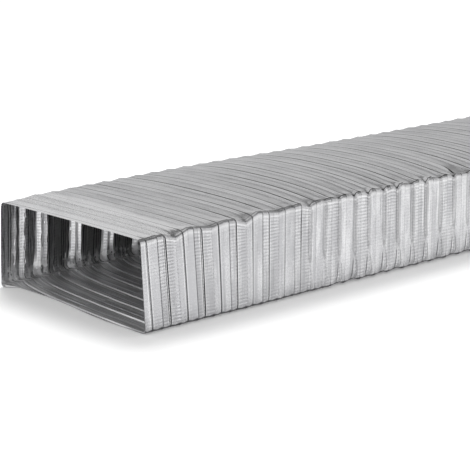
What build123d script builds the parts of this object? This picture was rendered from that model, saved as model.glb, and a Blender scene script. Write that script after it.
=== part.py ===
from build123d import *
from math import asin, ceil, cos, dist, pi, sin
import os

# Rectangular flexible ventilation hose, made of one aluminium strip that is folded lengthwise,
# wound into a tube and locked to itself along a crimped seam, once each turn.
# X runs across the width, Y along the hose and Z up. The origin is at the middle of the underside.

# Driving dimensions, in millimetres
LENGTH = 1000.0         # length as sold, cut square at both ends
WIDTH = 220.0           # outside, over the seams
HEIGHT = 90.0           # outside, at the side walls
CROWN = 6.0             # rise of the top between its two corners
CORNER_RADIUS = 6.0     # outside, along all four long corners
CORNER_FLATS = 3        # flats that the foil makes as it is bent round a corner
PITCH = 22.2            # advance of the strip in one turn
SEAM_WIDTH = 4.0        # flat lock seam, the outermost band of each turn
FOLD_DEPTH = 2.5        # how far the crease between two seams lies under them
PLEAT_DEPTH = 9.0       # deep pleats that the left wall is pushed into, one every second turn
PLEAT_TAPER = 14.0      # height over which a pleat dies out towards the corner above or below it
PLAIN_TURNS = 2         # turns at each end without pleats, an even number
WALL = 0.2              # foil, with the extra layers of the seams spread over it
PARALLEL = 1e-6         # sine of the angle under which two lines of the strip span a flat

# The top is an arc that is tangent to the two upper corners
corner_x = WIDTH / 2 - CORNER_RADIUS
upper_corner_z = HEIGHT - CORNER_RADIUS
crown_radius = (corner_x**2 + (CROWN + CORNER_RADIUS) ** 2 - CORNER_RADIUS**2) / (2 * CROWN)
crown_half_angle = asin(corner_x / (crown_radius - CORNER_RADIUS))
crown_apex = (0.0, HEIGHT + CROWN, pi / 2)


def corner_bends(centre_x, centre_z, start, end):
    """Bends round one corner: x, z and the angle at which the outer skin faces there."""
    bends = []
    for step in range(CORNER_FLATS + 1):
        angle = start + (end - start) * step / CORNER_FLATS
        x = centre_x + CORNER_RADIUS * cos(angle)
        z = centre_z + CORNER_RADIUS * sin(angle)
        bends.append((x, z, angle))
    return bends


# The outer section, counterclockwise from the underside as seen from -Y: each corner, and the
# straight run or crowned top that follows it
lower_right = corner_bends(corner_x, CORNER_RADIUS, -pi / 2, 0)
upper_right = corner_bends(corner_x, upper_corner_z, 0, pi / 2 - crown_half_angle)
upper_left = corner_bends(-corner_x, upper_corner_z, pi / 2 + crown_half_angle, pi)
lower_left = corner_bends(-corner_x, CORNER_RADIUS, pi, 3 * pi / 2)
corners = [lower_right, upper_right, upper_left, lower_left]
runs = list(zip(corners, corners[1:] + corners[:1]))
run_total = sum(dist(corner[-1][:2], following[0][:2]) for corner, following in runs)


def profile_edges(points):
    return [Edge.make_line(begin, end) for begin, end in zip(points, points[1:])]


def turn_line(start_y, depth, left_depth):
    """Edges of one turn of a line along the strip, at a depth under the outer skin.

    The winding is right-handed. It advances along the runs and goes square round the corners.
    Between the tapers of the left wall the line lies at a depth of its own."""

    def place(bend, y):
        x, z, angle = bend
        return Vector(x - depth * cos(angle), y, z - depth * sin(angle))

    edges = []
    y = start_y
    for corner, following in runs:
        points = [place(bend, y) for bend in corner]
        run_length = dist(corner[-1][:2], following[0][:2])
        next_y = y - PITCH * run_length / run_total
        run_end = place(following[0], next_y)
        if corner is upper_left:
            taper = PLEAT_TAPER / run_length
            pleat = Vector(left_depth - depth, 0, 0)
            for share in (taper, 1 - taper):
                points.append(points[CORNER_FLATS] * (1 - share) + run_end * share + pleat)
        edges += profile_edges(points)
        if corner is upper_right:
            apex = place(crown_apex, (y + next_y) / 2)
            edges.append(Edge.make_three_point_arc(points[-1], apex, run_end))
        else:
            edges.append(Edge.make_line(points[-1], run_end))
        y = next_y
    return edges


# Profile of the strip across one turn: distance along the hose and depth under the seams
crease_offset = (SEAM_WIDTH + PITCH) / 2
strip_profile = [(0.0, 0.0), (SEAM_WIDTH, 0.0), (crease_offset, FOLD_DEPTH)]

# The strip starts half a pitch before the hose and runs past its end
turns = ceil(LENGTH / PITCH) + 2
first_y = -LENGTH / 2 - PITCH / 2

# Pleats of the left wall: from the crease of every second turn the wall drops inwards to the next
# seam, and from there it slopes out again, over the turn that follows, to the next such crease
pleat_slope = PITCH + crease_offset
first_crest = (PLAIN_TURNS, crease_offset)
last_crest = ((turns - PLAIN_TURNS) // 2 * 2 - 2, crease_offset)


def left_wall_depth(turn, offset, depth):
    """Depth at which a line of the strip crosses the left wall: its own where there are no pleats."""
    if not first_crest <= (turn, offset) <= last_crest:
        return depth
    past_drop = offset if turn % 2 else offset + PITCH
    return PLEAT_DEPTH * (1 - past_drop / pleat_slope)


def skin_lines(under):
    """Seam edges and creases of every turn, in order along the hose, a distance under the outer skin."""
    lines = []
    for turn in range(turns):
        for offset, depth in strip_profile:
            left_depth = left_wall_depth(turn, offset, depth) + under
            lines.append(turn_line(first_y + turn * PITCH + offset, depth + under, left_depth))
    return lines


def strip_faces(edge, other):
    """Faces between two lines of the strip: a flat, two triangles in a taper, or a ruled crown."""
    if edge.geom_type != GeomType.LINE:
        return [Face.make_surface_from_curves(edge, other)]
    outline = [edge @ 0, edge @ 1, other @ 1, other @ 0]
    is_flat = (edge % 0.5).cross(other % 0.5).length < PARALLEL
    polygons = [outline] if is_flat else [outline[:3], outline[2:] + outline[:1]]
    return [Face(Wire.make_polygon(polygon)) for polygon in polygons]


def band(edges, other_edges):
    faces = []
    for edge, other in zip(edges, other_edges):
        faces += strip_faces(edge, other)
    return faces


def wound_strip():
    """The whole strip as a closed solid, longer than the hose at each end."""
    outer = skin_lines(0.0)
    inner = skin_lines(WALL)
    faces = []
    for skin in (outer, inner):
        for line, following in zip(skin, skin[1:]):
            faces += band(line, following)
    faces += band(outer[0], inner[0])
    faces += band(outer[-1], inner[-1])
    turn = len(strip_profile) + 1
    first_ends = [profile_edges([line[-1] @ 1 for line in skin[:turn]]) for skin in (outer, inner)]
    last_starts = [profile_edges([line[0] @ 0 for line in skin[-turn:]]) for skin in (outer, inner)]
    faces += band(*first_ends)
    faces += band(*last_starts)
    return Solid(Shell(faces))


cut_length = Pos(0, 0, HEIGHT / 2) * Box(2 * WIDTH, LENGTH, 2 * HEIGHT)
hose_wall = wound_strip() & cut_length

os.makedirs("parts", exist_ok=True)
export_step(hose_wall, "parts/hose_wall.step")
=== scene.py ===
import math

import bpy
import numpy as np
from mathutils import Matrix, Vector


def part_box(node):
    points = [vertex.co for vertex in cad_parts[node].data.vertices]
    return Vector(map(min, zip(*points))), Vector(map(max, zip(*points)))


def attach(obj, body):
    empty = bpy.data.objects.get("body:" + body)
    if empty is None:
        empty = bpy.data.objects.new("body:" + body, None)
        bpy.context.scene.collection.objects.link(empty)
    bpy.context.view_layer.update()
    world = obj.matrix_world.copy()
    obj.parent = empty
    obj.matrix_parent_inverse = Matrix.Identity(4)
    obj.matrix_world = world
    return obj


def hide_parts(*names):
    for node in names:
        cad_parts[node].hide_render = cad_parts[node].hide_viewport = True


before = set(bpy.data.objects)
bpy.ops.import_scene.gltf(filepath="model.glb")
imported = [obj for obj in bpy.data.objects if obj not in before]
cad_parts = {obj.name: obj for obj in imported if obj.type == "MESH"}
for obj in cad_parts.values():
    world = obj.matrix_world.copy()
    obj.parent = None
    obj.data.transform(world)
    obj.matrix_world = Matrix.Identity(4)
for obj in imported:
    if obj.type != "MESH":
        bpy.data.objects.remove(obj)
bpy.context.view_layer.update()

# The foil wall: one strip wound right-handed, so every line on it is a helix round the section.
# Lengths in metres, depths measured from the open front end.
hose = {
    "node": "hose_wall",
    "slot": "aluminium_foil",
    "seed": 7,
    "height": 0.0900,  # at the side walls, without the crown
    "cornerRadius": 0.0040,
    "crownFront": 0.0008,  # the top bows up more away from the end
    "crownBack": 0.0075,
    "crownGrowth": (0.03, 0.30),  # between these depths
    "bowPower": 2.4,  # flat in the middle of the top and steeper at its sides
    "sag": 0.0020,  # the open end's top left corner hangs down by this much
    "sagReach": 0.035,
    "swell": 0.0021,  # extra height part way along
    "swellPlace": 0.22,
    "swellReach": 0.15,
    "splay": 0.0052,  # the right wall's foot stands out by this much
    "splayFrom": (0.02, 0.11),  # it grows over this part of the width
    "foil": 0.0004,  # thickness that shows at the rims
    "columns": {"floor": 12, "lowCorner": 6, "topCorner": 8, "side": 15, "top": 24},
    "gathered": 0.6,  # how far the columns are gathered near the corners
    "wallRamp": 0.006,  # the walls' own folds reach full depth this far from a corner
    "topRamp": 0.016,
    "frontSkew": {"topLeft": -0.0049, "topRight": 0.0, "lowRight": 0.0010, "lowLeft": -0.0080},
    "lipSetBack": 0.0110,  # the floor's front edge lies this far back beside the left wall
    "lipBegins": (0.002, 0.010),  # distances from the left wall
    "lipEnds": (0.06, 0.17),
    "rearSkew": {"topLeft": 0.0030, "topRight": -0.0020, "lowRight": 0.0, "lowLeft": -0.0030},
    "sharpAngle": 20.0,  # folds sharper than this stay sharp in the shading
}

strip = {
    "pitch": 0.0222,  # advance of the strip in one turn
    "lead": 0.00865,  # how far the first turn starts before the front end
    "spareTurns": 3,  # turns before that one, taken off by the cut at the front end
    "endTurns": 6,  # turns more than the length holds, for both ends
    "firstBand": (0.0043, 0.0076),  # rows between the crease that starts the turn and the lock seam
    "seamPlace": 0.0129,
    "secondBand": (0.0170, 0.0196),  # rows between the lock seam and the next crease
    "seamFoot": 0.0014,
    "seamTop": 0.0008,
    "seamRise": 0.0002,
    "seamInside": 0.0010,  # ridge of the lock seam on the inner floor
    "ridgeOnWalls": 0.3,  # share of that ridge on the other sides
    "creaseHalf": (0.0010, 0.0007),  # groove half width, in even and odd turns
    "creaseDepth": (0.0014, 0.0008),
    "ridgeInside": 0.25,  # share of the groove that shows inside
    "noiseStep": 0.23,  # turns from one knot of the noise to the next
    "fineStep": 0.06,
    "slowStep": 0.9,
}

# rows of one turn, as stripRows lays them
rowOf = {
    "crease": 0,
    "firstBand": (2, 3),
    "seam": slice(4, 8),
    "seamFeet": slice(4, 8, 3),
    "seamTop": slice(5, 7),
    "secondBand": slice(8, 10),
}

folds = {
    "settled": (0.03, 0.12),  # depths over which the top becomes uneven
    "top": 0.00024,  # depth of the creases on the top
    "topUneven": 0.6,
    "floorShare": 0.5,
    "nearUneven": 0.0003,  # in and out, on the right wall's near and far part
    "farUneven": 0.0005,
    "seamUneven": 0.00025,
    "fineUneven": 0.00010,
    "pinched": (0.004, 0.03),  # depths over which the pinches of the corners begin
    "rightFar": 0.0016,  # recess of the far part of the right wall
    "farFrom": 0.14,
    "farTo": 0.27,
    "recessCloses": (0.20, 0.52),  # shares of the height
    "recessSize": (0.85, 0.4),  # mean and unevenness, kept between the two limits
    "recessLimits": (0.4, 1.2),
    "fan": 0.0030,  # spread of the fine folds under the recess
    "fanRows": {3: -0.5, 4: -1.0, 5: -0.4, 6: 0.4, 7: 1.0, 8: 0.5},  # how each row takes part
    "fanUneven": 0.2,
    "fanHeight": 0.38,  # shares of the height
    "fanFade": (0.24, 0.40),
    "triangle": 0.0007,  # the raised triangle between the fine folds
    "pleat": 0.0046,  # half depth of the left wall's deep pleats
    "pleatInset": 0.5,  # they go further in than out
    "pleatUneven": 0.20,
    "pleatFoot": (0.03, 0.30),  # shares of the height over which their feet end
    "footLess": 0.2,  # the feet are shallower by this share
    "pleatFlare": 0.0030,  # the feet are pulled along the hose, unevenly
    "flareSize": (0.6, 0.8),
    "pleatCrumple": 0.0009,
    "pleatRagged": 0.0007,  # unevenness of the pleats' edges
    "pleatSteps": {"uneven": 0.6, "crumple": 0.013, "flare": 0.21, "ragged": 0.011},  # in turns
    "pleatBegins": (-0.030, -0.004),
    "slopeBegins": (0.022, 0.030),
    "mouth": ((-0.0030, 0.7), (0.0105, 0.1), (0.0135, 0.2), (0.0215, -0.8)),  # first pleats
    "bandTilt": 0.00030,
    "topTilt": 0.6,
    "stray": 0.0007,  # how far a line strays from the true helix
    "leanFront": -0.0002,  # extra lean of the right wall's lines at the open end
    "leanBack": -0.0080,
    "leanGrowth": (0.02, 0.18),
    "sweep": -0.0100,  # the right side is pushed together a little more
    "sweepGrowth": (0.10, 0.42),
    "sweepSides": {"lowLeft": 0.0, "topLeft": 0.0, "topRight": 1.0, "lowRight": 1.0},
    "gather": -0.0060,  # and so is the left wall, behind the end
    "gatherGrowth": (0.03, 0.19),
    "gatherSides": {"lowLeft": 1.0, "topLeft": 0.3, "topRight": 0.0, "lowRight": 0.0},
    "curl": 0.0110,  # the floor's lines bend back beside the left wall
    "curlReach": (0.034, 0.003),  # on the floor and up the wall
    "gash": 0.445,  # place of one deep dent beside the top right corner
    "gashDepth": 0.0045,
    "gashInset": 0.009,
    "gashReach": 0.008,
    "gashMark": 1.8,  # how much darker its painted shade line is
    "teeth": (0.6, 0.6, 1.0, 0.45, 1.25, 0.4, 2.4),  # dips of the top right edge, every other crease
    "laterTeeth": (0.5, 1.2),  # range of the dips behind those
    "smallTeeth": (0.2, 1.4),
    "bigTooth": (0.0004, -0.0034, 0.0022, 0.0004),  # height at the places that edgeTeeth names
    "smallTooth": (0.0012, 0.0004, -0.0024, 0.0010, 0.0012),
    "teethReach": (0.0065, 0.0130),  # over the top and down the right wall
    "teethBegin": (0.004, 0.030),
    "teethTurn": 0.7,  # the corner comes about this share of a turn after its start
    "markFront": 1.30,  # the right wall's painted crease shade is stronger near the open end
    "markLess": 0.50,
    "markDepths": (0.05, 0.16),
    "topMarkFront": 0.50,  # and the top's are weaker there
}


def weighed(*parts):
    # sum of terms, each times its weight, for arrays and for sockets
    return sum(weight * term for weight, term in parts)


def smoothStep(low, high, value):
    # 0 below low, 1 above high, and a soft ramp between
    share = np.clip((value - low) / (high - low), 0.0, 1.0)
    return share * share * (3.0 - 2.0 * share)


def wanderAlong(rng, position, spacing):
    # smooth seeded noise from -1 to 1: random knots every spacing, eased between
    knots = rng.uniform(-1.0, 1.0, int(np.max(position) / spacing) + 3)
    place = np.clip(position, 0.0, None) / spacing
    index = place.astype(int)
    share = smoothStep(0.0, 1.0, place - index)
    return knots[index] * (1.0 - share) + knots[index + 1] * share


def sectionColumns(low, high):
    # The section, clockwise as seen from the open end, from the middle of the underside:
    # straight runs joined by quarter arcs of the corner radius.
    radius, height, count = hose["cornerRadius"], hose["height"], hose["columns"]
    halfWidth = (high[0] - low[0]) / 2
    inner = halfWidth - radius
    points, normals, names = [], [], []

    def run(start, end, normal, number, name):
        even = np.linspace(0.0, 1.0, number, endpoint=False)
        eased = 0.5 - 0.5 * np.cos(np.pi * even)
        share = (1.0 - hose["gathered"]) * even + hose["gathered"] * eased
        points.append(np.outer(1 - share, start) + np.outer(share, end))
        normals.append(np.tile(normal, (number, 1)))
        names.extend([name] * number)

    def bend(centre, first, number, name):
        angle = np.radians(first) - np.linspace(0.0, np.pi / 2, number, endpoint=False)
        normal = np.stack([np.cos(angle), np.sin(angle)], axis=1)
        points.append(np.array(centre) + radius * normal)
        normals.append(normal)
        names.extend([name] * number)

    run((0.0, 0.0), (-inner, 0.0), (0.0, -1.0), count["floor"] // 2, "floor")
    bend((-inner, radius), 270.0, count["lowCorner"], "lowLeft")
    run((-halfWidth, radius), (-halfWidth, height - radius), (-1.0, 0.0), count["side"], "left")
    bend((-inner, height - radius), 180.0, count["topCorner"], "topLeft")
    run((-inner, height), (inner, height), (0.0, 1.0), count["top"], "top")
    bend((inner, height - radius), 90.0, count["topCorner"], "topRight")
    run((halfWidth, height - radius), (halfWidth, radius), (1.0, 0.0), count["side"], "right")
    bend((inner, radius), 0.0, count["lowCorner"], "lowRight")
    run((inner, 0.0), (0.0, 0.0), (0.0, -1.0), count["floor"] // 2, "floor")

    points, normals, names = np.concatenate(points), np.concatenate(normals), np.array(names)
    steps = np.linalg.norm(np.roll(points, -1, axis=0) - points, axis=1)
    travel = np.concatenate([[0.0], np.cumsum(steps)])
    corners = {name: travel[:-1][names == name].mean()
               for name in ("lowLeft", "topLeft", "topRight", "lowRight")}
    return {"points": points, "normals": normals, "travel": travel[:-1], "girth": travel[-1],
            "corners": corners, "inner": inner}


def regionWeights(section):
    # how far each column belongs to the left wall, top, right wall and floor
    travel, corners = section["travel"], section["corners"]

    def between(first, last, ramp):
        rise = smoothStep(-0.2, 1.0, (travel - corners[first]) / ramp)
        return rise * smoothStep(-0.2, 1.0, (corners[last] - travel) / ramp)

    left = between("lowLeft", "topLeft", hose["wallRamp"])
    top = between("topLeft", "topRight", hose["topRamp"])
    right = between("topRight", "lowRight", hose["wallRamp"])
    return left, top, right, np.clip(1.0 - left - top - right, 0.0, 1.0)


def besideCorner(section, name, before, after):
    # bell round one corner: 1 at its middle, falling off along the girth on its two sides
    away = section["travel"] - section["corners"][name]
    return np.exp(-((away / np.where(away < 0.0, before, after)) ** 2))


def cornerLine(section, values):
    # values at the four corners, in straight lines along the sides between
    order = ["lowLeft", "topLeft", "topRight", "lowRight"]
    girth = section["girth"]
    places = np.array([section["corners"][name] for name in order])
    places = np.concatenate([places - girth, places, places + girth])
    return np.interp(section["travel"], places, np.tile([values[name] for name in order], 3))


def frontEdge(section):
    # the open end's edge: straight between the corners, and set back on the floor beside the left wall
    travel, corners = section["travel"], section["corners"]
    pastRight = travel > corners["lowRight"]
    fromLeft = corners["lowLeft"] + np.where(pastRight, section["girth"] - travel, -travel)
    beside = smoothStep(*hose["lipBegins"], fromLeft) * (1.0 - smoothStep(*hose["lipEnds"], fromLeft))
    return cornerLine(section, hose["frontSkew"]) + hose["lipSetBack"] * beside


def stripRows(turns):
    # places of the rows across the strip, for every turn: crease, its edge, two rows in the first
    # band, the lock seam in four rows, two rows in the second band, edge of the next crease
    pitch, seam = strip["pitch"], strip["seamPlace"]
    foot, top = strip["seamFoot"], strip["seamTop"]
    halves = np.where(np.arange(turns + 1) % 2 == 0, *strip["creaseHalf"])
    fixed = [*strip["firstBand"], seam - foot, seam - top, seam + top, seam + foot, *strip["secondBand"]]
    rows = [np.zeros(turns), halves[:-1]]
    rows += [np.full(turns, place) for place in fixed]
    rows.append(pitch - halves[1:])
    return np.stack(rows, axis=1)


def stripLayout(low, high):
    # the strip's turns over the columns of the section, and seeded noise that runs along it
    rng = np.random.default_rng(hose["seed"])
    section = sectionColumns(low, high)
    pitch = strip["pitch"]
    turns = int((high[1] - low[1]) / pitch) + strip["endTurns"]
    turn = np.arange(turns + 1)[:, None]
    along = turn + section["travel"] / section["girth"]
    startY = low[1] - strip["spareTurns"] * pitch - strip["lead"]
    depth = startY + along * pitch - low[1]
    left, top, right, floor = regionWeights(section)
    farAll = smoothStep(folds["farFrom"], folds["farTo"], depth)
    return {
        "rng": rng, "section": section, "turns": turns, "startY": startY, "depth": depth,
        "even": np.broadcast_to((turn % 2 == 0).astype(float), along.shape),
        "heightShare": np.clip(section["points"][:, 1] / hose["height"], 0.0, 1.0),
        "left": left, "top": top, "floor": floor, "farAll": farAll,
        "far": farAll * right, "near": right - farAll * right,
        "settled": smoothStep(*folds["settled"], depth),
        "noise": [wanderAlong(rng, along, strip["noiseStep"]) for _ in range(8)],
        "fine": [wanderAlong(rng, along, strip["fineStep"]) for _ in range(4)],
        "slow": [wanderAlong(rng, along, strip["slowStep"]) for _ in range(6)],
    }


def gashPlace(lay):
    # the turn with the deep dent, and a bell round its place on the girth
    section = lay["section"]
    turn = int(round(folds["gash"] / strip["pitch"])) + strip["spareTurns"]
    away = section["travel"] - section["corners"]["topRight"] + folds["gashInset"]
    return turn, np.exp(-((away / folds["gashReach"]) ** 2))


def linesOut(lay):
    # how far the creases and the seams of every turn stand out from the section
    section, noise, fine, slow = lay["section"], lay["noise"], lay["fine"], lay["slow"]
    top, near, far, settled = lay["top"], lay["near"], lay["far"], lay["settled"]
    topAndFloor = top + folds["floorShare"] * lay["floor"]
    crease = -folds["top"] * settled * (1.0 + folds["topUneven"] * noise[0]) * topAndFloor
    crease = crease + (folds["nearUneven"] * near + folds["farUneven"] * far) * noise[0]
    crease = crease + folds["fineUneven"] * fine[0]
    seam = (top + near + lay["left"]) * folds["seamUneven"] * noise[1] * settled
    seam = seam + folds["fineUneven"] * fine[1]

    # corners: pinched in at some lines and standing out in small tips at others, each given as
    # its width along the girth, the push of its creases and the push of its seams
    farAll = lay["farAll"]
    pinches = {
        "topRight": (0.0060, 0.0007 * np.clip(slow[2] + 0.3, 0.0, 1.0), -0.0010 * farAll),
        "topLeft": (0.0070, -0.0008 + 0.0005 * slow[4], 0.0002),
        "lowRight": (0.0050, -0.0004, -0.0030 * farAll * (1.0 + 0.5 * slow[1])),
        "lowLeft": (0.0055, -0.0010 + 0.0008 * slow[5], -0.0006),
    }
    begun = smoothStep(*folds["pinched"], lay["depth"])
    for name, (width, creasePush, seamPush) in pinches.items():
        bell = besideCorner(section, name, width, width) * begun
        crease = crease + bell * creasePush
        seam = seam + bell * seamPush
    gashTurn, gashBell = gashPlace(lay)
    crease[gashTurn] -= folds["gashDepth"] * gashBell
    return crease, seam


def linesAlong(lay):
    # how far the lines stray along the hose: noise, lean of the right wall, the sides pushed
    # together, and the curl of the floor's lines beside the left wall
    section, depth = lay["section"], lay["depth"]
    loose = folds["stray"] * lay["settled"] * (1.0 + lay["far"])
    leanRange = folds["leanBack"] - folds["leanFront"]
    lean = folds["leanFront"] + leanRange * smoothStep(*folds["leanGrowth"], depth)
    leanPlaces = [section["corners"]["topRight"], section["corners"]["lowRight"], section["girth"]]
    lean = lean * np.interp(section["travel"], leanPlaces, [0.0, 1.0, 0.0])
    rightSide = cornerLine(section, folds["sweepSides"])
    leftSide = cornerLine(section, folds["gatherSides"])
    pushed = folds["sweep"] * smoothStep(*folds["sweepGrowth"], depth) * rightSide
    pushed = pushed + folds["gather"] * smoothStep(*folds["gatherGrowth"], depth) * leftSide
    fromCorner = section["travel"] - section["corners"]["lowLeft"]
    curl = folds["curl"] * np.exp(-np.abs(fromCorner) / np.where(fromCorner < 0.0, *folds["curlReach"]))
    common = lean + pushed + curl
    return common + loose * lay["noise"][3], common + loose * lay["noise"][4]


def leftPleats(lay, rowPlace, inFrom):
    # left wall: steep faces towards the open end and long slopes between, as a saw over the rows;
    # gives the push outwards, the shift along the hose and where the slopes are, which the material darkens
    # with painted shade
    pitch, section, rng = strip["pitch"], lay["section"], lay["rng"]
    spare, step = strip["spareTurns"], folds["pleatSteps"]
    middle = (section["corners"]["lowLeft"] + section["corners"]["topLeft"]) / 2
    toRow = spare * pitch + strip["lead"] - pitch * middle / section["girth"]
    knots = [(place + toRow, value) for place, value in folds["mouth"]]
    crest, trough = strip["secondBand"][0] - pitch, strip["firstBand"][0]
    for number in range(spare + 2, lay["turns"], 2):
        knots += [(number * pitch + crest, 1.0), (number * pitch + trough, -1.0)]
    saw = np.interp(rowPlace, [knot[0] for knot in knots], [knot[1] for knot in knots])[:, None]
    wound = rowPlace[:, None] / pitch + section["travel"] / section["girth"]
    uneven = 1.0 + folds["pleatUneven"] * wanderAlong(rng, wound, step["uneven"])
    lowDown = 1.0 - smoothStep(*folds["pleatFoot"], lay["heightShare"])
    push = folds["pleat"] * uneven * (saw - folds["pleatInset"]) * (1.0 - folds["footLess"] * lowDown)
    push = push + folds["pleatCrumple"] * lowDown * wanderAlong(rng, wound, step["crumple"])
    flareMean, flareUneven = folds["flareSize"]
    flare = np.where(np.abs(saw) > 0.5, -np.sign(saw), 0.0) * folds["pleatFlare"]
    flare = flare * lowDown * (flareMean + flareUneven * wanderAlong(rng, wound, step["flare"]))
    flare = flare + folds["pleatRagged"] * wanderAlong(rng, wound, step["ragged"])
    begun = smoothStep(*folds["pleatBegins"], inFrom)
    falling = np.gradient(saw[:, 0], rowPlace) < 0.0
    slopes = np.where(falling, 0.0, 1.0)[:, None] * lay["left"] * smoothStep(*folds["slopeBegins"], inFrom)
    return lay["left"] * push * begun, lay["left"] * flare * begun, slopes


def edgeTeeth(lay, rowPlace):
    # top right edge, up and down: behind every other crease it drops, then jumps up and sinks
    # slowly to the next; further back there is one small tooth in every turn
    pitch, seam, section, rng = strip["pitch"], strip["seamPlace"], lay["section"], lay["rng"]
    first, second = strip["firstBand"], strip["secondBand"]
    pair = (rowPlace / (2 * pitch)).astype(int)
    sizes = np.concatenate([folds["teeth"], rng.uniform(*folds["laterTeeth"], pair.max() + 1)])[pair]
    bigPlaces = [0.0, seam, pitch + first[1], 2 * pitch]
    big = np.interp(rowPlace % (2 * pitch), bigPlaces, folds["bigTooth"]) * sizes
    smallPlaces = [0.0, first[1], seam, second[0], pitch]
    small = np.interp(rowPlace % pitch, smallPlaces, folds["smallTooth"])
    turn = (rowPlace / pitch).astype(int)
    small = small * rng.uniform(*folds["smallTeeth"], turn.max() + 1)[turn]
    fromFront = rowPlace - (strip["spareTurns"] - folds["teethTurn"]) * pitch - strip["lead"]
    farAll = smoothStep(folds["farFrom"], folds["farTo"], fromFront)
    begun = smoothStep(*folds["teethBegin"], fromFront)
    lift = (big * (1.0 - farAll) + small * farAll) * begun
    return lift[:, None] * besideCorner(section, "topRight", *folds["teethReach"])


def creaseShades(lay):
    # strength of the painted shade along the creases, on the outside, and on the inside in the left wall's
    # pleats; it also sets the painted highlight beside them
    left, floor, even, far = lay["left"], lay["floor"], lay["even"], lay["far"]
    deeper = smoothStep(*folds["markDepths"], lay["depth"])
    near = lay["near"] * (folds["markFront"] - folds["markLess"] * deeper)
    top = lay["top"] * (folds["topMarkFront"] + (1.0 - folds["topMarkFront"]) * lay["settled"])
    outer = weighed((0.65, near), (0.85, near * even), (0.74, top), (0.42, top * lay["noise"][2]),
                    (0.15, far), (0.6, left), (0.5, floor))
    gashTurn, gashBell = gashPlace(lay)
    outer[gashTurn] += folds["gashMark"] * gashBell
    inner = weighed((1.0, left), (-0.6, left * even), (0.35, floor))
    return outer, inner


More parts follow.
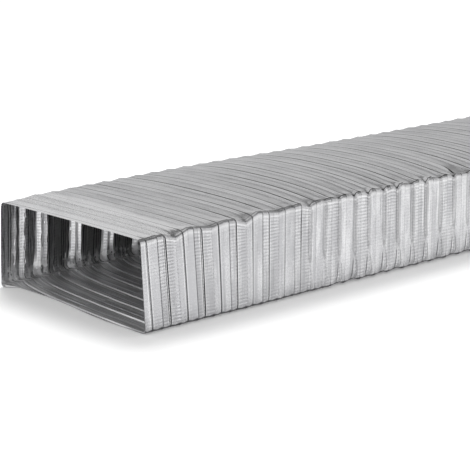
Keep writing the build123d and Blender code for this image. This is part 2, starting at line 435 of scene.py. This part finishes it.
def foldedWall(low, high):
    # Every vertex is a point of the section, pushed along its normal by the folds and moved
    # along the hose by the helix: y = start + pitch * (turn + travel / girth) + place + shift.
    lay = stripLayout(low, high)
    section, turns, noise = lay["section"], lay["turns"], lay["noise"]
    points, normals = section["points"], section["normals"]
    travel, girth = section["travel"], section["girth"]
    left, top, near, far, floor = lay["left"], lay["top"], lay["near"], lay["far"], lay["floor"]
    heightShare = lay["heightShare"]
    pitch, seam = strip["pitch"], strip["seamPlace"]
    columns = len(travel)
    creaseOut, seamOut = linesOut(lay)
    creaseShift, seamShift = linesAlong(lay)

    # rows of the surface: values run straight from one line to the next, across the strip
    rows = stripRows(turns)
    perTurn = rows.shape[1]
    before = (rows <= seam)[:, :, None]
    share = np.where(rows <= seam, rows / seam, (rows - seam) / (pitch - seam))[:, :, None]

    def acrossStrip(crease, seamValue):
        first = np.where(before, crease[:-1, None, :], seamValue[:-1, None, :])
        last = np.where(before, seamValue[:-1, None, :], crease[1:, None, :])
        return first * (1.0 - share) + last * share

    out = acrossStrip(creaseOut, seamOut)
    shift = acrossStrip(creaseShift, seamShift)
    tilt = folds["bandTilt"] * (folds["topTilt"] * top + near + far)
    for row, wander in zip(rowOf["firstBand"], noise[5:7]):
        out[:, row] += (tilt * wander)[:-1]
    out[:, rowOf["secondBand"]] += (tilt * noise[7])[:-1, None, :]

    # right wall, far part: the seam lies in a recess with straight sides, which closes low down,
    # where two fine folds fan out round a raised triangle
    recessMean, recessUneven = folds["recessSize"]
    recessSize = np.clip(recessMean + recessUneven * noise[2], *folds["recessLimits"])
    recess = (far * smoothStep(*folds["recessCloses"], heightShare) * recessSize)[:-1]
    below = (far * (1.0 - smoothStep(0.0, folds["fanHeight"], heightShare)))[:-1]
    # shade: how much painted shade darkens the recess, for the material
    shade = np.zeros_like(out)
    shade[:, rowOf["seam"]] = recess[:, None, :]
    out -= folds["rightFar"] * shade
    spread = folds["fan"] * below * (1.0 + folds["fanUneven"] * lay["slow"][3][:-1])
    for row, reach in folds["fanRows"].items():
        shift[:, row] += reach * spread
    # fanLine: where the material paints shade lines along the fine folds
    fanLine = np.zeros_like(out)
    fanLine[:, rowOf["seamFeet"]] = (far * (1.0 - smoothStep(*folds["fanFade"], heightShare)))[:-1, None, :]
    out[:, rowOf["seamTop"]] += folds["triangle"] * below[:, None, :]

    # grooves of the creases, by their share of the full depth, and the lock seam's step
    depths = np.where(np.arange(turns) % 2 == 0, *strip["creaseDepth"])[:, None]
    settledTop = top * lay["settled"]
    keep = weighed((0.9, near), (0.3, near * lay["fine"][2]), (0.192, settledTop),
                   (0.16, settledTop * noise[2]), (0.15, far), (0.5, left), (0.7, floor))
    groove = np.zeros_like(out)
    groove[:, rowOf["crease"]] = -depths * keep[:-1]
    step = np.zeros_like(out)
    step[:, rowOf["seamTop"]] = strip["seamRise"]

    out, shift, groove, step, shade, fanLine = [
        values.reshape(-1, columns) for values in (out, shift, groove, step, shade, fanLine)]
    rowPlace = (np.arange(turns)[:, None] * pitch + rows).reshape(-1)
    alongY = lay["startY"] + rowPlace[:, None] + pitch * travel / girth + shift
    inFrom = alongY - low[1]
    pleatOut, pleatShift, slopes = leftPleats(lay, rowPlace, inFrom)
    out = out + pleatOut
    alongY = alongY + pleatShift
    lift = edgeTeeth(lay, rowPlace)
    print("strip laid out:", turns, "turns,", out.shape[0], "rows by", columns, "columns")

    # crown of the top, swell of the whole section part way along, splay of the right wall and sag
    # of the open end's top left corner
    crownRange = hose["crownBack"] - hose["crownFront"]
    crown = hose["crownFront"] + crownRange * smoothStep(*hose["crownGrowth"], inFrom)
    bow = np.clip(1.0 - np.abs(points[:, 0] / section["inner"]) ** hose["bowPower"], 0.0, None)
    bow = bow * (points[:, 1] > hose["height"] - 1e-6)
    swell = hose["swell"] * np.exp(-(((inFrom - hose["swellPlace"]) / hose["swellReach"]) ** 2))
    splay = hose["splay"] * (1.0 - heightShare) * smoothStep(*hose["splayFrom"], points[:, 0])
    byTopLeft = cornerLine(section, {"lowLeft": 0.0, "topLeft": 1.0, "topRight": 0.0, "lowRight": 0.0})
    lift = lift - hose["sag"] * byTopLeft * (1.0 - smoothStep(0.0, hose["sagReach"], inFrom))

    def skin(push):
        position = np.empty(push.shape + (3,))
        position[..., 0] = points[:, 0] + normals[:, 0] * push + splay
        position[..., 1] = alongY
        position[..., 2] = points[:, 1] + normals[:, 1] * push + crown * bow + swell * heightShare + lift
        return position

    def bendAcross(push):
        # how far a row stands over the middle of its neighbours
        middle = push.copy()
        middle[1:-1] = (push[:-2] + push[2:]) / 2
        return push - middle

    outerPush = out + groove + step
    innerStep = step / strip["seamRise"] * strip["seamInside"] * (floor + strip["ridgeOnWalls"])
    innerPush = out + groove * strip["ridgeInside"] * (1.0 + floor) - innerStep - hose["foil"]
    # attributes for the material: bend, for painted shade in hollows and painted highlights on ridges;
    # strength of the painted crease shade; painted shade of recesses and slopes; and the fine folds' painted
    # shade lines
    values = {
        "bend": np.stack([bendAcross(outerPush), -bendAcross(innerPush)]),
        "creaseShade": np.stack([acrossStrip(creaseShade, creaseShade).reshape(-1, columns) for creaseShade in creaseShades(lay)]),
        "shade": np.stack([shade, slopes]),
        "fanLine": np.stack([fanLine, np.zeros_like(fanLine)]),
    }

    # the two ends: each column is cut where it meets the end's edge line
    frontY = low[1] + frontEdge(section)
    rearY = high[1] + cornerLine(section, hose["rearSkew"])
    column = np.arange(columns)
    firstRow = (alongY < frontY).sum(axis=0) - 1
    lastRow = (alongY < rearY).sum(axis=0)

    def trimmed(surface):
        for edgeRow, nextRow, cut in ((firstRow, firstRow + 1, frontY), (lastRow, lastRow - 1, rearY)):
            here, there = surface[edgeRow, column], surface[nextRow, column]
            ratio = (cut - here[:, 1]) / (there[:, 1] - here[:, 1])
            surface[edgeRow, column] = here + (there - here) * ratio[:, None]
        return surface

    # quads between rows and columns; the last column joins the first one, one turn further on
    rowIndex = np.arange(out.shape[0] - perTurn - 1)[:, None]
    nextColumn = np.where(column == columns - 1, 0, column + 1)[None, :]
    nextRow = np.where(column == columns - 1, perTurn, 0)[None, :]

    def vertex(row, place):
        row, place = np.broadcast_arrays(row, place)
        return np.clip(row, firstRow[place], lastRow[place]) * columns + place

    quads = np.stack([
        vertex(rowIndex, column[None, :]),
        vertex(rowIndex + nextRow, nextColumn),
        vertex(rowIndex + nextRow + 1, nextColumn),
        vertex(rowIndex + 1, column[None, :]),
    ], axis=-1).reshape(-1, 4)
    grid = (len(rowIndex), columns)
    across = [np.broadcast_to(value, grid).reshape(-1) for value in (travel, np.append(travel[1:], girth))]
    lengthwise = [np.broadcast_to(value[:, None], grid).reshape(-1)
                  for value in (rowPlace[:len(rowIndex)], rowPlace[1:len(rowIndex) + 1])]
    places = np.stack([np.stack([across[side], lengthwise[end]], axis=-1)
                       for side, end in ((0, 0), (1, 0), (1, 1), (0, 1))], axis=1)
    return {
        "skins": (trimmed(skin(outerPush)), trimmed(skin(innerPush))),
        "values": values,
        "quads": quads,
        "places": places,
        "rims": (vertex(firstRow, column), vertex(lastRow, column)),
    }


def wallMesh(low, high):
    # outer and inner skin, joined by a rim of quads at both ends
    wall = foldedWall(low, high)
    quads, places = wall["quads"], wall["places"]
    count = wall["values"]["creaseShade"][0].size
    shortLeft = quads[:, 0] == quads[:, 3]
    shortRight = quads[:, 1] == quads[:, 2]
    whole = ~(shortLeft | shortRight)
    loops, coordinates = [], []
    for offset, order in ((0, 1), (count, -1)):
        for chosen, used in ((whole, [0, 1, 2, 3]), (shortLeft & ~shortRight, [0, 1, 2]),
                             (shortRight & ~shortLeft, [0, 1, 3])):
            loops.append(quads[chosen][:, used[::order]] + offset)
            coordinates.append(places[chosen][:, used[::order]])
    for rim, order in ((wall["rims"][0], 1), (wall["rims"][1], -1)):
        following = np.roll(rim, -1)
        loops.append(np.stack([rim, rim + count, following + count, following], axis=1)[:, ::order])
        coordinates.append(np.zeros((len(rim), 4, 2)))

    vertices = np.concatenate([skin.reshape(-1, 3) for skin in wall["skins"]])
    corners = np.concatenate([loop.reshape(-1) for loop in loops])
    sizes = np.concatenate([np.full(len(loop), loop.shape[1]) for loop in loops])
    used, corners = np.unique(corners, return_inverse=True)
    values = {name: value.reshape(-1)[used] for name, value in wall["values"].items()}
    values["outside"] = used < count

    mesh = bpy.data.meshes.new("hoseWall")
    mesh.vertices.add(len(used))
    mesh.vertices.foreach_set("co", vertices[used].astype(np.float32).reshape(-1))
    mesh.loops.add(len(corners))
    mesh.loops.foreach_set("vertex_index", corners.astype(np.int32))
    mesh.polygons.add(len(sizes))
    mesh.polygons.foreach_set("loop_start", np.concatenate([[0], np.cumsum(sizes)[:-1]]).astype(np.int32))
    flat = np.concatenate([place.reshape(-1, 2) for place in coordinates]).astype(np.float32)
    mesh.uv_layers.new(name="strip").uv.foreach_set("vector", flat.reshape(-1))
    for name, value in values.items():
        attribute = mesh.attributes.new(name, "FLOAT", "POINT")
        attribute.data.foreach_set("value", value.astype(np.float32))
    mesh.update()
    mesh.validate()
    mesh.polygons.foreach_set("use_smooth", np.ones(len(mesh.polygons), dtype=bool))
    mesh.set_sharp_from_angle(angle=math.radians(hose["sharpAngle"]))
    print("wall mesh:", len(used), "vertices,", int((sizes - 2).sum()), "triangles")
    return mesh


class Line:
    # one socket of a node tree, on which sums are written as plain expressions

    def __init__(self, tree, socket):
        self.tree = tree
        self.socket = socket

    def math(self, operation, *others):
        terms = dict(enumerate((self,) + others))
        return makeNode(self.tree, "ShaderNodeMath", {"operation": operation}, terms)

    def __add__(self, other):
        return self.math("ADD", other)

    def __sub__(self, other):
        return self.math("SUBTRACT", other)

    def __rsub__(self, other):
        return makeNode(self.tree, "ShaderNodeMath", {"operation": "SUBTRACT"}, {0: other, 1: self})

    def __mul__(self, other):
        return self.math("MULTIPLY", other)

    __radd__ = __add__
    __rmul__ = __mul__

    def __truediv__(self, other):
        return self.math("DIVIDE", other)

    def __mod__(self, other):
        return self.math("FLOORED_MODULO", other)

    def __abs__(self):
        return self.math("ABSOLUTE")

    def past(self, other):  # 1 where the value is greater
        return self.math("GREATER_THAN", other)

    def most(self, other):
        return self.math("MAXIMUM", other)

    def least(self, other):
        return self.math("MINIMUM", other)

    def ramp(self, low, high):  # 0 to 1 between two values, eased
        return makeNode(self.tree, "ShaderNodeMapRange", {"interpolation_type": "SMOOTHSTEP"},
                        {"Value": self, "From Min": low, "From Max": high})

    def fall(self, low, high):  # 1 to 0 between two values, eased
        return 1.0 - self.ramp(low, high)

    def also(self, name):  # another output of the same node
        return Line(self.tree, self.socket.node.outputs[name])


def makeNode(tree, kind, settings, sockets, output=0):
    node = tree.nodes.new(kind)
    for name, value in settings.items():
        setattr(node, name, value)
    for name, value in sockets.items():
        if isinstance(value, Line):
            tree.links.new(value.socket, node.inputs[name])
        else:
            node.inputs[name].default_value = value
    return Line(tree, node.outputs[output]) if node.outputs else None


def mixColours(tree, share, first, second):
    return makeNode(tree, "ShaderNodeMix", {"data_type": "RGBA"}, {0: share, 6: first, 7: second}, 2)


def newMaterial(name):
    material = bpy.data.materials.new(name)
    material.use_nodes = True
    material.node_tree.nodes.clear()
    return material, material.node_tree


foil = {
    "bright": (0.79, 0.79, 0.80, 1.0),
    "dull": (0.53, 0.53, 0.545, 1.0),
    "paintedGlint": (0.92, 0.92, 0.925, 1.0),  # painted highlight on the edges of the folds and on the pale lines
    # painted shade of the right wall's recesses outside
    "recess": (0.50, 0.50, 0.51, 1.0),
    "slope": (0.32, 0.32, 0.325, 1.0),  # painted shade of the pleats' slopes inside, turned away from the light
    "shadow": (0.04, 0.04, 0.043, 1.0),
    "sunkShare": 0.80,  # how much of the painted recess or slope shade is mixed in
    "sunkFrom": (0.25, 0.75),
    "roughOutside": 0.38,
    "roughEnd": 0.28,  # the end is less crumpled, up to these two places
    "smoothEnd": (-0.455, -0.420),
    "roughInside": 0.32,
    "roughFloor": 0.56,
    "roughGrain": 0.14,
    "farPart": (-0.36, -0.23),  # places over which the right wall's far part begins
    "floorHeight": (0.003, 0.012),
    "footHeight": (0.012, 0.030),  # the pleats' feet end between these heights
    "bandEdges": (0.0060, 0.0176),  # changes of tone in the bands on both sides of the seam
    "tick": 0.0032,  # fine cross corrugation of the strip
    "dent": 0.0040,  # crimp marks along the lock seam
    "fullBend": 0.0007,  # a fold this sharp is fully painted shade, or fully painted highlight
    "hatchRelief": 0.00014,
    "grainRelief": 0.00010,
    "mottleRelief": 0.0005,
}

# noise in the foil: scale and detail in space, or steps along the strip and across it
foilNoise = {
    "mottle": (38.0, 5.0),
    "grain": (420.0, 3.0),
    "speck": (800.0, 1.0),
    "tips": (110.0, 2.0),
    "band": (14.0, 3.7),
    "streak": (34.0, 950.0),
    "floorStreak": (9.0, 300.0),
    "bandLine": (22.0, 5.3),
    "span": (0.3, 0.7),  # the part of its range that is used
    "narrowSpan": (0.35, 0.65),
}

# dark lines, mostly painted shade: places and widths in metres
darkLines = {
    "creaseInside": 0.0005,  # half width of the painted crease shade at full strength
    "creaseOutside": 0.0006,  # and what the outside adds
    "creaseLeast": 0.0002,
    "seamWidth": (0.0002, 0.0008),
    "bandWidth": (0.0001, 0.0006),
    "edgePlace": -0.0016,  # painted shade line between top and right wall, from the corner
    "edgeWidth": 0.0007,
    "edgeScallop": 0.0017,
    "footPlace": 0.0004,  # painted contact shadow under the right wall, from the corner
    "footWidth": 0.0014,
    "footScallop": 0.0020,
    "beforeSeam": 0.0032,  # painted shade before the floor's ridges
    "beforeCrease": 0.0026,
    "behindSeam": 0.0015,  # painted shade line behind the left wall's seams, inside
    "behindSeamWidth": (0.0002, 0.0009),
    "pair": 0.0013,  # two painted shade lines beside each of the left wall's folds, inside
    "pairWidth": (0.0003, 0.0011),
    "dullBandTurn": 5.0,  # one dull, laddered band on the left wall, inside
    "dullBandEdge": (0.0045, 0.0065),
    "ladderFrom": (-0.50, -0.47),
}

# painted highlight lines, in the same way
highlightLines = {
    "seamWidth": (0.0004, 0.0012),
    "creaseWidth": (0.0003, 0.0010),
    "foldWidth": (0.0002, 0.0008),  # painted highlight between the two dark lines of the left wall's folds
    "tipsFrom": (0.002, 0.006),  # heights of the painted highlights on the curled tips under the left wall's pleats
    "tipsTo": (0.010, 0.024),
    "beside": 0.0020,  # painted highlight beside the creases outside
    "besideWidth": 0.0007,
    "browFrom": (0.0012, 0.0030),  # painted highlight at the top of the right wall
    "browTo": (0.003, 0.009),
}


def strongest(*parts):
    # the largest of several lines, each times its strength
    lines = [line * strength for strength, line in parts]
    largest = lines[0]
    for line in lines[1:]:
        largest = largest.most(line)
    return largest


def foilMaterial(corners):
    material, tree = newMaterial("rolledFoil")
    pitch, seam = strip["pitch"], strip["seamPlace"]
    firstEdge, secondEdge = foil["bandEdges"]
    span, narrowSpan = foilNoise["span"], foilNoise["narrowSpan"]

    def attribute(name):
        return makeNode(tree, "ShaderNodeAttribute", {"attribute_name": name}, {}, "Fac")

    def noiseAt(vector, scale, detail):
        return makeNode(tree, "ShaderNodeTexNoise", {}, {"Vector": vector, "Scale": scale, "Detail": detail})

    def onStrip(name, acrossTerm):
        alongSteps, acrossSteps = foilNoise[name]
        terms = {"X": alongStrip * alongSteps, "Y": acrossTerm * acrossSteps}
        return noiseAt(makeNode(tree, "ShaderNodeCombineXYZ", {}, terms), 1.0, 2.0)

    def sawTooth(length):  # 1 at the ends of each length along the strip, 0 in its middle
        return abs((alongStrip % length) / length - 0.5) * 2.0

    uv = makeNode(tree, "ShaderNodeUVMap", {"uv_map": "strip"}, {})
    alongStrip = makeNode(tree, "ShaderNodeSeparateXYZ", {}, {"Vector": uv})
    alongHose = alongStrip.also("Y")
    where = makeNode(tree, "ShaderNodeTexCoord", {}, {}, "Object")
    heightUp = makeNode(tree, "ShaderNodeSeparateXYZ", {}, {"Vector": where}, "Z")
    backFrom = heightUp.also("Y")
    mottle = noiseAt(where, *foilNoise["mottle"])
    grain = noiseAt(where, *foilNoise["grain"])
    speck = noiseAt(where, *foilNoise["speck"]).ramp(*span) - 0.5
    outside, bend, creaseShade = attribute("outside"), attribute("bend"), attribute("creaseShade")
    recess, fanLine = attribute("shade"), attribute("fanLine")
    inside = 1.0 - outside

    # place across the strip, and what lies there
    place = alongHose % pitch
    turn = (alongHose / pitch).math("FLOOR")
    oddTurn = turn % 2.0
    pastSeam = place.past(seam)
    hatched = abs(pastSeam - (1.0 - oddTurn))
    band = turn * 4.0 + place.past(firstEdge) + pastSeam + place.past(secondEdge)
    bandTone = onStrip("band", band).ramp(*span)
    streak = onStrip("streak", alongHose).ramp(*span)
    floorStreak = onStrip("floorStreak", alongHose).ramp(*narrowSpan)
    fromCrease = pitch / 2 - abs(place - pitch / 2)
    fromSeam = abs(place - seam)
    fromFold = abs(place - firstEdge)
    tick = sawTooth(foil["tick"])
    dent = sawTooth(foil["dent"])
    scallop = abs((alongHose / (pitch / 2)) % 1.0 - 0.5) * 2.0

    # sides of the hose, and parts of them
    onLeft = alongStrip.past(corners["lowLeft"]) - alongStrip.past(corners["topLeft"])
    onTop = alongStrip.past(corners["topLeft"]) - alongStrip.past(corners["topRight"])
    onRight = alongStrip.past(corners["topRight"]) - alongStrip.past(corners["lowRight"])
    overTop = (alongStrip - corners["topLeft"]) / (corners["topRight"] - corners["topLeft"])
    downRight = alongStrip - corners["topRight"]
    onFloor = heightUp.fall(*foil["floorHeight"])
    floorInside = onFloor * inside
    innerLeft = onLeft * inside
    outerTop = onTop * outside
    outerRight = onRight * outside
    foot = heightUp.fall(*foil["footHeight"]) * innerLeft
    farBack = backFrom.ramp(*foil["farPart"])
    plainEnd = backFrom.fall(*foil["smoothEnd"])
    dullTurn = darkLines["dullBandTurn"]
    inTurn = turn.past(dullTurn - 0.5) * (1.0 - turn.past(dullTurn + 0.5))
    dullBand = place.fall(*darkLines["dullBandEdge"]) * inTurn * innerLeft

    # fine cross corrugation: relief, and rungs of dull tone
    hatch = tick * (0.30 + 0.70 * hatched) * (1.0 + onRight)
    ladder = tick.ramp(0.35, 0.95) * (0.35 + 0.65 * hatched.most(inside)) * (1.0 - 0.6 * onTop)
    ladder = ladder * (0.4 + 0.9 * mottle.ramp(*narrowSpan))

    # painted shade lines: creases, dotted and plain seams, edges of the bands, bottoms of sharp folds, rims
    # of the recesses, and the scalloped edges above and below the right wall, the lower one a painted
    # contact shadow
    creaseHalf = darkLines["creaseInside"] + darkLines["creaseOutside"] * outside
    creaseHalf = creaseShade * creaseHalf + darkLines["creaseLeast"]
    creaseLine = (fromCrease / creaseHalf).fall(0.45, 1.1) * (creaseShade * 1.5).least(1.0)
    # painted shade along the lock seam, dotted at the crimps, solid on the near right wall's odd turns
    dots = (0.12 + (0.42 - 0.14 * onRight) * dent.fall(0.25, 0.6)) * (0.4 + 0.6 * streak)
    dots = dots.most(oddTurn * onRight * (1.0 - farBack) * 0.75)
    seamLine = fromSeam.fall(*darkLines["seamWidth"]) * dots * outside
    bandLine = fromFold.least(abs(place - secondEdge)).fall(*darkLines["bandWidth"])
    bandLine = bandLine * onStrip("bandLine", turn).ramp(0.5, 0.75)
    hollowShade = (0.0 - bend / foil["fullBend"]).ramp(0.1, 1.3)
    brink = recess.ramp(0.15, 0.30) * recess.fall(0.35, 0.50) * outside
    edgeHalf = darkLines["edgeWidth"] + darkLines["edgeScallop"] * scallop * bandTone
    edgeShade = (abs(downRight - darkLines["edgePlace"]) / edgeHalf).fall(0.5, 1.1) * outside
    footHalf = darkLines["footWidth"] + darkLines["footScallop"] * scallop
    fromFoot = abs(alongStrip - (corners["lowRight"] + darkLines["footPlace"]))
    footShadow = (fromFoot / footHalf).fall(0.5, 1.1) * outside

    # and inside: painted shade before the floor's ridges, painted shade lines beside the left wall's seams
    # and folds, darker streaks on the floor, and rungs of dull tone, which are stronger in its dull band
    seamReach, creaseReach = darkLines["beforeSeam"], darkLines["beforeCrease"]
    before = ((seam - place) / seamReach).fall(0.1, 1.0) * place.past(seam - seamReach) * (1.0 - pastSeam)
    before = before.most(((pitch - place) / creaseReach).fall(0.1, 1.0) * place.past(pitch - creaseReach))
    behindSeam = abs(place - seam - darkLines["behindSeam"]).fall(*darkLines["behindSeamWidth"])
    pair = abs(fromFold - darkLines["pair"]).fall(*darkLines["pairWidth"])
    rungs = ladder * (0.22 - 0.16 * recess + 0.35 * dullBand)
    dark = strongest(
        (1.0, creaseLine),
        (1.0, seamLine),
        (0.55, bandLine * outside),
        (0.70, bandLine * innerLeft),
        (1.0, hollowShade * (0.75 - 0.5 * recess * outside - 0.45 * foot)),
        (0.75, fanLine.ramp(0.55, 0.95)),
        (1.0, brink * (0.15 + 0.35 * streak)),
        (1.0, edgeShade * (0.40 + 0.50 * farBack)),
        (0.85, footShadow),
        (0.34, before * floorInside),
        (0.30, (1.0 - floorStreak) * floorInside),
        (0.65, behindSeam * innerLeft),
        (0.85, pair * innerLeft),
        (1.0, rungs * inside * backFrom.ramp(*darkLines["ladderFrom"])),
        (0.42, dullBand),
    )

    # painted highlights: pale lines on the ridges, streaks, folds and curled tips inside, and a painted
    # sheen over the inner floor; then painted highlights beside the creases, at the top of the right wall
    # and along sharp folds
    ridge = fromSeam.fall(*highlightLines["seamWidth"]).most(fromCrease.fall(*highlightLines["creaseWidth"]))
    ridge = ridge * (0.35 + 0.65 * onFloor) * (0.15 + 0.50 * streak + 0.45 * bandTone)
    tips = heightUp.ramp(*highlightLines["tipsFrom"]) * heightUp.fall(*highlightLines["tipsTo"])
    paleHighlight = strongest(
        (1.0, ridge * (1.0 - 0.2 * onFloor) * inside),
        (1.0, (0.25 + 0.60 * floorStreak.ramp(0.45, 0.95)) * floorInside),
        (0.30, fromFold.fall(*highlightLines["foldWidth"]) * innerLeft),
        (1.0, tips * noiseAt(where, *foilNoise["tips"]).ramp(0.50, 0.60) * innerLeft),
    )
    beside = (abs(fromCrease - highlightLines["beside"]) / highlightLines["besideWidth"]).fall(0.2, 1.0)
    browHighlight = downRight.ramp(*highlightLines["browFrom"]) * downRight.fall(*highlightLines["browTo"])
    paintedHighlight = strongest(
        (0.55, beside * creaseShade * outside),
        (0.45, browHighlight * outerRight),
        (1.0, (bend / foil["fullBend"]).ramp(0.4, 1.6) * (0.5 + 0.4 * foot)),
    )

    # bright and dull foil, partly painted light and shade by side; then painted shade in recesses and
    # slopes, painted highlights, and the painted shade and highlight lines over it
    dull = weighed(
        (0.42, bandTone),
        (0.40, bandTone * onRight),
        (0.26, streak),
        (0.18, mottle.ramp(*span)),
        (0.55, speck),
        (0.22, ladder),
        (0.20, ladder * onRight),
        # painted light and shade by side, except the dull band: the right wall duller near the end and
        # lighter far back; the inner floor and left wall lighter; the top duller on its left, lighter on its
        # right and at the end
        (0.26, outerRight),
        (-0.38, outerRight * farBack),
        (-0.85, floorInside),
        (0.7, floorInside * streak),
        (-0.40, innerLeft),
        (0.6, innerLeft * streak),
        (0.9, dullBand),
        (0.14, outerTop),
        (-0.54, outerTop * overTop),
        (-0.24, outerTop * plainEnd),
    )
    tone = mixColours(tree, dull, foil["bright"], foil["dull"])
    sunkShade = mixColours(tree, outside, foil["slope"], foil["recess"])
    sunk = mixColours(tree, recess.ramp(*foil["sunkFrom"]) * foil["sunkShare"], tone, sunkShade)
    highlighted = mixColours(tree, paintedHighlight, sunk, foil["paintedGlint"])
    lined = mixColours(tree, paleHighlight, mixColours(tree, dark, highlighted, foil["shadow"]), foil["paintedGlint"])

    relief = hatch * foil["hatchRelief"] + grain * foil["grainRelief"] + mottle * foil["mottleRelief"]
    bump = makeNode(tree, "ShaderNodeBump", {}, {"Height": relief, "Strength": 1.0, "Distance": 1.0})
    within = foil["roughInside"] + (foil["roughFloor"] - foil["roughInside"]) * onFloor
    without = foil["roughOutside"] + (foil["roughEnd"] - foil["roughOutside"]) * plainEnd
    rough = outside * without + inside * within + (grain - 0.5) * foil["roughGrain"]
    shader = makeNode(tree, "ShaderNodeBsdfPrincipled", {},
                      {"Base Color": lined, "Metallic": 1.0, "Roughness": rough, "Normal": bump})
    makeNode(tree, "ShaderNodeOutputMaterial", {}, {"Surface": shader})
    return material


low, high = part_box(hose["node"])
wall = bpy.data.objects.new("hoseWall", wallMesh(low, high))
bpy.context.scene.collection.objects.link(wall)
wall.data.materials.append(foilMaterial(sectionColumns(low, high)["corners"]))
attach(wall, "root")
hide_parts(hose["node"])
print("foil wall dressed")

stage = {
    "floorSize": 8.0,
    "floorDrop": 0.0006,  # the floor lies just under the lowest seam
    "floorTone": (0.86, 0.86, 0.86, 1.0),
    "floorGlow": 0.13,  # what the floor lacks to white, for rays that see it
    "ambient": 0.74,
}

# light that the metal mirrors, by the upward and backward parts of the direction
sky = {
    "backdrop": 0.95,
    "ceiling": 0.30,  # the ceiling gives this much less
    "ceilingFrom": (0.2, 0.7),
    "gap": 0.50,  # dark gap between backdrop and ceiling, behind the object
    "gapFrom": (0.38, 0.60),
    "gapTo": (0.80, 0.95),
    "gapBehind": (-0.2, 0.3),
    "dim": 0.44,  # the backdrop gets less light low down behind the object
    "dimTo": (0.0, 0.40),
    "dimBehind": (0.30, 0.75),
    "front": 0.27,  # and a little less on the camera's side
    "frontFrom": (0.0, 0.15),
    "frontTo": (0.4, 0.7),
    "frontAhead": (0.2, 0.7),
    "least": 0.10,
}


def studioFloor():
    half = stage["floorSize"] / 2
    depth = -stage["floorDrop"]
    mesh = bpy.data.meshes.new("studioFloor")
    corners = [(-half, -half, depth), (half, -half, depth), (half, half, depth), (-half, half, depth)]
    mesh.from_pydata(corners, [], [(0, 1, 2, 3)])
    floor = bpy.data.objects.new("studioFloor", mesh)
    bpy.context.scene.collection.objects.link(floor)
    material, tree = newMaterial("paleFloor")
    camera = makeNode(tree, "ShaderNodeLightPath", {}, {}, "Is Camera Ray")
    seen = camera.most(camera.also("Is Glossy Ray")).most(camera.also("Is Transmission Ray"))
    paint = makeNode(tree, "ShaderNodeBsdfDiffuse", {}, {"Color": stage["floorTone"]})
    glow = makeNode(tree, "ShaderNodeEmission", {}, {"Strength": seen * stage["floorGlow"]})
    both = makeNode(tree, "ShaderNodeAddShader", {}, {0: paint, 1: glow})
    makeNode(tree, "ShaderNodeOutputMaterial", {}, {"Surface": both})
    mesh.materials.append(material)


def studioWorld():
    # a white backdrop, dimmer low down at the back and in front, a dark gap over it at the back,
    # and a soft ceiling
    world = bpy.data.worlds.new("studio")
    bpy.context.scene.world = world
    world.use_nodes = True
    tree = world.node_tree
    tree.nodes.clear()
    camera = makeNode(tree, "ShaderNodeLightPath", {}, {}, "Is Camera Ray")
    glossy = camera.also("Is Glossy Ray").most(camera.also("Is Transmission Ray"))
    direction = makeNode(tree, "ShaderNodeTexCoord", {}, {}, "Generated")
    up = makeNode(tree, "ShaderNodeSeparateXYZ", {}, {"Vector": direction}, "Z")
    back = up.also("Y")
    gap = up.ramp(*sky["gapFrom"]) * up.fall(*sky["gapTo"]) * back.ramp(*sky["gapBehind"])
    dim = up.fall(*sky["dimTo"]) * back.ramp(*sky["dimBehind"])
    front = up.ramp(*sky["frontFrom"]) * up.fall(*sky["frontTo"]) * (0.0 - back).ramp(*sky["frontAhead"])
    mirrored = sky["backdrop"] - sky["ceiling"] * up.ramp(*sky["ceilingFrom"]) - sky["gap"] * gap
    mirrored = (mirrored - sky["dim"] * dim - sky["front"] * front).most(sky["least"])
    strength = camera + (1.0 - camera) * (glossy * mirrored + (1.0 - glossy) * stage["ambient"])
    white = (1.0, 1.0, 1.0, 1.0)
    shade = makeNode(tree, "ShaderNodeBackground", {}, {"Color": white, "Strength": strength})
    makeNode(tree, "ShaderNodeOutputWorld", {}, {"Surface": shade})


# the sky lamp gives the floor its shadow and doesn't show in the metal
lamps = {
    "skyKey": {"place": (-1.0, 0.5, 2.2), "target": (0.0, -0.2, 0.0), "size": (1.2, 1.2),
               "power": 46.0, "inMetal": False},
    "rightFill": {"place": (2.4, 0.0, 0.50), "target": (0.1, -0.2, 0.05), "size": (1.2, 0.6),
                  "power": 1.2, "inMetal": True},
    "frontFill": {"place": (1.6, -2.4, 0.4), "target": (0.0, -0.4, 0.05), "size": (1.6, 0.6),
                  "power": 5.0, "inMetal": True},
}


def aimed(name, data, spot):
    # an object at its place, turned to its target
    piece = bpy.data.objects.new(name, data)
    piece.location = spot["place"]
    aim = Vector(spot["target"]) - Vector(spot["place"])
    piece.rotation_euler = aim.to_track_quat("-Z", "Y").to_euler()
    bpy.context.scene.collection.objects.link(piece)
    return piece


def softLamp(name, lamp):
    light = bpy.data.lights.new(name, "AREA")
    light.shape = "RECTANGLE"
    light.size, light.size_y = lamp["size"]
    light.energy = lamp["power"]
    aimed(name, light, lamp).visible_glossy = lamp["inMetal"]


view = {
    "place": (1.3756, -1.4925, 0.5053),
    "target": (0.1777, -0.4433, 0.0986),
    "lens": 137.9,
    "sensor": 36.0,
}


def photoCamera():
    data = bpy.data.cameras.new("photoCamera")
    data.lens = view["lens"]
    data.sensor_width = view["sensor"]
    bpy.context.scene.camera = aimed("photoCamera", data, view)


studioFloor()
studioWorld()
for name, lamp in lamps.items():
    softLamp(name, lamp)
photoCamera()
bpy.context.scene.view_settings.view_transform = "Standard"
print("stage set")
